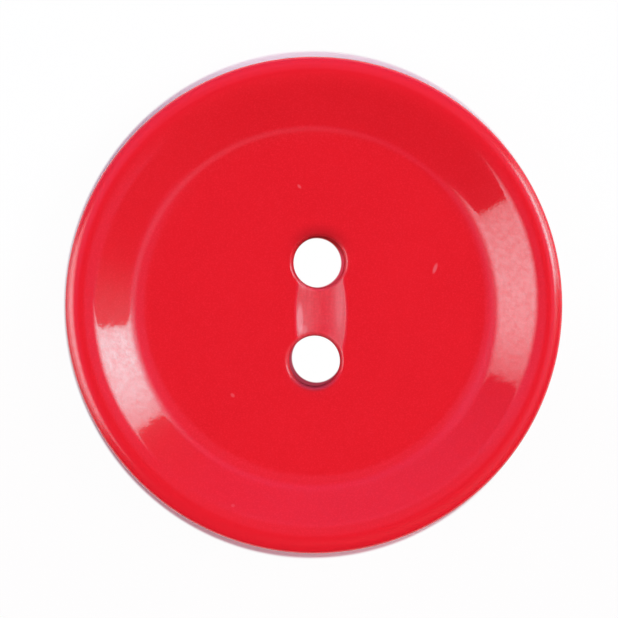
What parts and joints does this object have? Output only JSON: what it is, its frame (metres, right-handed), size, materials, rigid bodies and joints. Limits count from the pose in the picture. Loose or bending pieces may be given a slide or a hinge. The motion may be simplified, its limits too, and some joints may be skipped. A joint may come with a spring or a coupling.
{
  "type": "two-hole sewing button",
  "caption": "Round dished sewing button with a raised rounded rim, thread holes and a boat-shaped thread groove that joins them.",
  "frame": {"origin": "centre of the back face, on the button's axis", "axes": "+Z out of the front face, +Y along the line through the two thread holes"},
  "size_m": [0.023, 0.023, 0.0033],
  "materials": {
    "button_plastic": "polished, opaque red"
  },
  "bodies": {
    "root": {"button": "button_plastic"}
  },
  "joints": []
}
